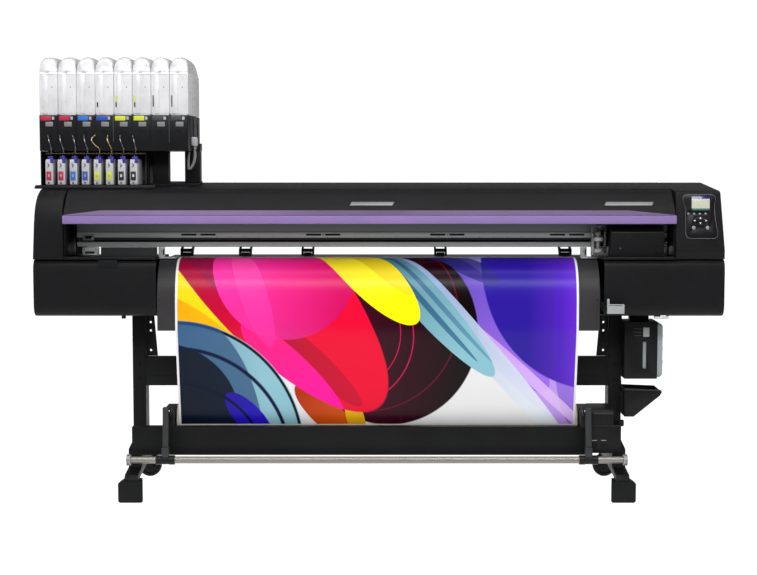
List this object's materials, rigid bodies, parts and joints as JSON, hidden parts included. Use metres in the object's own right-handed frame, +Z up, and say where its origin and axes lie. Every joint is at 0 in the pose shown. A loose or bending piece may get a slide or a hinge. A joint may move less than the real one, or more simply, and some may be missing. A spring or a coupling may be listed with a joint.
{
  "type": "printer cutter",
  "caption": "Free-standing roll-fed wide-format inkjet printer and contour cutter with a take-up, a bulk ink rack and a waste bottle.",
  "frame": {"origin": "on the floor, in the middle of the whole object's box", "axes": "+X to the operator's right along the machine, +Y away from the operator, +Z up"},
  "size_m": [2.784, 0.7, 1.7915],
  "materials": {
    "steel_black": "satin black powder coat",
    "cover_black": "fine-textured black moulded plastic",
    "grey_plastic": "satin dark grey sheet",
    "trim_purple": "satin violet strip",
    "aluminium": "anodised, brushed along its length",
    "cast_silver": "bead-blasted and anodised",
    "steel_rod": "drawn tube",
    "rubber": "matt black",
    "lever_grey": "satin light grey",
    "media": "glossy printed vinyl",
    "cardboard": "rolled media on a spiral-wound card core",
    "cartridge_grey": "satin light grey",
    "pack_clear": "translucent white film",
    "bottle": "translucent natural polyethylene",
    "key_grey": "satin grey with painted ring",
    "panel_gloss": "gloss black"
  },
  "bodies": {
    "machine": {"left_leg": "steel_black", "right_leg": "steel_black", "cross_beam": "steel_black", "lower_beam": "steel_black", "base_frame": "steel_black", "platen": "aluminium", "front_guide": "grey_plastic", "y_bar": "aluminium", "left_lower_cover": "cover_black", "right_lower_cover": "cover_black", "left_end_cover": "cover_black", "right_end_cover": "cover_black", "top_cover": "cover_black", "control_panel": "panel_gloss", "takeup_motor": "cover_black", "supply_stand": "steel_black", "media_web": "media", "ink_station": "cover_black", "ink_rack": "cover_black", "waste_bottle_holder": "cover_black", "side_tray": "cover_black", "ink_cartridge_1": "cartridge_grey", "ink_cartridge_2": "cartridge_grey", "ink_cartridge_3": "cartridge_grey", "ink_cartridge_4": "cartridge_grey", "ink_cartridge_5": "cartridge_grey", "ink_cartridge_6": "cartridge_grey", "ink_cartridge_7": "cartridge_grey", "ink_cartridge_8": "cartridge_grey"},
    "front_cover": {"front_cover": "cover_black", "front_trim": "trim_purple"},
    "carriage": {"print_carriage": "cover_black", "cutter_carriage": "cast_silver"},
    "blade_holder": {"blade_holder": "steel_rod"},
    "clamp_lever": {"clamp_lever": "lever_grey"},
    "pinch_rollers": {"pinch_rollers": "rubber"},
    "supply_roll": {"supply_roll": "cardboard"},
    "feed_roller": {"feed_roller": "cast_silver"},
    "takeup_roll": {"takeup_roll": "cardboard"},
    "tension_bar": {"tension_bar": "steel_rod"},
    "caster_left": {"caster_fork_left": "steel_black"},
    "caster_right": {"caster_fork_right": "steel_black"},
    "caster_wheel_left": {"caster_wheel_left": "rubber"},
    "caster_wheel_right": {"caster_wheel_right": "rubber"},
    "waste_bottle": {"waste_bottle": "bottle"},
    "function_key_1": {"function_key_1": "key_grey"},
    "function_key_2": {"function_key_2": "key_grey"},
    "function_key_3": {"function_key_3": "key_grey"},
    "function_key_4": {"function_key_4": "key_grey"},
    "jog_pad": {"jog_pad": "key_grey"},
    "end_key": {"end_key": "key_grey"},
    "enter_key": {"enter_key": "key_grey"},
    "ink_pack_1": {"ink_pack_1": "pack_clear"},
    "ink_pack_2": {"ink_pack_2": "pack_clear"},
    "ink_pack_3": {"ink_pack_3": "pack_clear"},
    "ink_pack_4": {"ink_pack_4": "pack_clear"},
    "ink_pack_5": {"ink_pack_5": "pack_clear"},
    "ink_pack_6": {"ink_pack_6": "pack_clear"},
    "ink_pack_7": {"ink_pack_7": "pack_clear"},
    "ink_pack_8": {"ink_pack_8": "pack_clear"}
  },
  "joints": [
    {"name": "front_cover_hinge", "type": "hinge", "parent": "machine", "child": "front_cover", "pos_m": [0, -0.188, 1.245], "axis": [-1, 0, 0], "range_deg": [0, 75]},
    {"name": "carriage_slide", "type": "slide", "parent": "machine", "child": "carriage", "axis": [-1, 0, 0], "range_m": [0, 2]},
    {"name": "blade_slide", "type": "slide", "parent": "carriage", "child": "blade_holder", "axis": [0, 0, -1], "range_m": [0, 0.008], "stiffness_N_per_m": 800, "springref_m": -0.005},
    {"name": "clamp_lever_hinge", "type": "hinge", "parent": "machine", "child": "clamp_lever", "pos_m": [0.93, -0.2, 0.8], "axis": [1, 0, 0], "range_deg": [0, 35]},
    {"name": "pinch_lift", "type": "hinge", "parent": "machine", "child": "pinch_rollers", "pos_m": [0, -0.045, 1.027], "axis": [1, 0, 0], "range_deg": [-6, 0]},
    {"name": "supply_roll_spin", "type": "hinge", "parent": "machine", "child": "supply_roll", "pos_m": [-0.006, 0.235, 0.6], "axis": [1, 0, 0], "continuous": true},
    {"name": "feed_roller_spin", "type": "hinge", "parent": "machine", "child": "feed_roller", "pos_m": [0, -0.085, 0.9611], "axis": [1, 0, 0], "continuous": true},
    {"name": "takeup_roll_spin", "type": "hinge", "parent": "machine", "child": "takeup_roll", "pos_m": [-0.006, -0.138, 0.31], "axis": [1, 0, 0], "continuous": true},
    {"name": "tension_bar_hinge", "type": "hinge", "parent": "machine", "child": "tension_bar", "pos_m": [-0.006, -0.285, 0.362], "axis": [-1, 0, 0], "range_deg": [0, 70]},
    {"name": "caster_swivel_left", "type": "hinge", "parent": "machine", "child": "caster_left", "pos_m": [-0.979, 0.19, 0.11], "axis": [0, 0, 1], "continuous": true},
    {"name": "caster_swivel_right", "type": "hinge", "parent": "machine", "child": "caster_right", "pos_m": [0.967, 0.19, 0.11], "axis": [0, 0, 1], "continuous": true},
    {"name": "caster_spin_left", "type": "hinge", "parent": "caster_left", "child": "caster_wheel_left", "pos_m": [-0.995, 0.19, 0.05], "axis": [0, 1, 0], "continuous": true},
    {"name": "caster_spin_right", "type": "hinge", "parent": "caster_right", "child": "caster_wheel_right", "pos_m": [0.983, 0.19, 0.05], "axis": [0, 1, 0], "continuous": true},
    {"name": "waste_bottle_slide", "type": "slide", "parent": "machine", "child": "waste_bottle", "axis": [1, 0, 0], "range_m": [0, 0.2]},
    {"name": "function_key_1_press", "type": "slide", "parent": "machine", "child": "function_key_1", "axis": [0, 0.9916, -0.1293], "range_m": [0, 0.0015], "stiffness_N_per_m": 400, "springref_m": -0.001},
    {"name": "function_key_2_press", "type": "slide", "parent": "machine", "child": "function_key_2", "axis": [0, 0.9916, -0.1293], "range_m": [0, 0.0015], "stiffness_N_per_m": 400, "springref_m": -0.001},
    {"name": "function_key_3_press", "type": "slide", "parent": "machine", "child": "function_key_3", "axis": [0, 0.9916, -0.1293], "range_m": [0, 0.0015], "stiffness_N_per_m": 400, "springref_m": -0.001},
    {"name": "function_key_4_press", "type": "slide", "parent": "machine", "child": "function_key_4", "axis": [0, 0.9916, -0.1293], "range_m": [0, 0.0015], "stiffness_N_per_m": 400, "springref_m": -0.001},
    {"name": "jog_pad_press", "type": "slide", "parent": "machine", "child": "jog_pad", "axis": [0, 0.9916, -0.1293], "range_m": [0, 0.0015], "stiffness_N_per_m": 400, "springref_m": -0.001},
    {"name": "end_key_press", "type": "slide", "parent": "machine", "child": "end_key", "axis": [0, 0.9916, -0.1293], "range_m": [0, 0.0015], "stiffness_N_per_m": 400, "springref_m": -0.001},
    {"name": "enter_key_press", "type": "slide", "parent": "machine", "child": "enter_key", "axis": [0, 0.9916, -0.1293], "range_m": [0, 0.0015], "stiffness_N_per_m": 400, "springref_m": -0.001},
    {"name": "ink_pack_1_lift", "type": "slide", "parent": "machine", "child": "ink_pack_1", "axis": [0, 0, 1], "range_m": [0, 0.12]},
    {"name": "ink_pack_2_lift", "type": "slide", "parent": "machine", "child": "ink_pack_2", "axis": [0, 0, 1], "range_m": [0, 0.12]},
    {"name": "ink_pack_3_lift", "type": "slide", "parent": "machine", "child": "ink_pack_3", "axis": [0, 0, 1], "range_m": [0, 0.12]},
    {"name": "ink_pack_4_lift", "type": "slide", "parent": "machine", "child": "ink_pack_4", "axis": [0, 0, 1], "range_m": [0, 0.12]},
    {"name": "ink_pack_5_lift", "type": "slide", "parent": "machine", "child": "ink_pack_5", "axis": [0, 0, 1], "range_m": [0, 0.12]},
    {"name": "ink_pack_6_lift", "type": "slide", "parent": "machine", "child": "ink_pack_6", "axis": [0, 0, 1], "range_m": [0, 0.12]},
    {"name": "ink_pack_7_lift", "type": "slide", "parent": "machine", "child": "ink_pack_7", "axis": [0, 0, 1], "range_m": [0, 0.12]},
    {"name": "ink_pack_8_lift", "type": "slide", "parent": "machine", "child": "ink_pack_8", "axis": [0, 0, 1], "range_m": [0, 0.12]}
  ],
  "couplings": [
    {"joint": "pinch_lift", "follows": "clamp_lever_hinge", "ratio": -0.17143},
    {"joint": "feed_roller_spin", "follows": "supply_roll_spin", "ratio": 7.2727},
    {"joint": "takeup_roll_spin", "follows": "supply_roll_spin", "ratio": 1.2903}
  ]
}
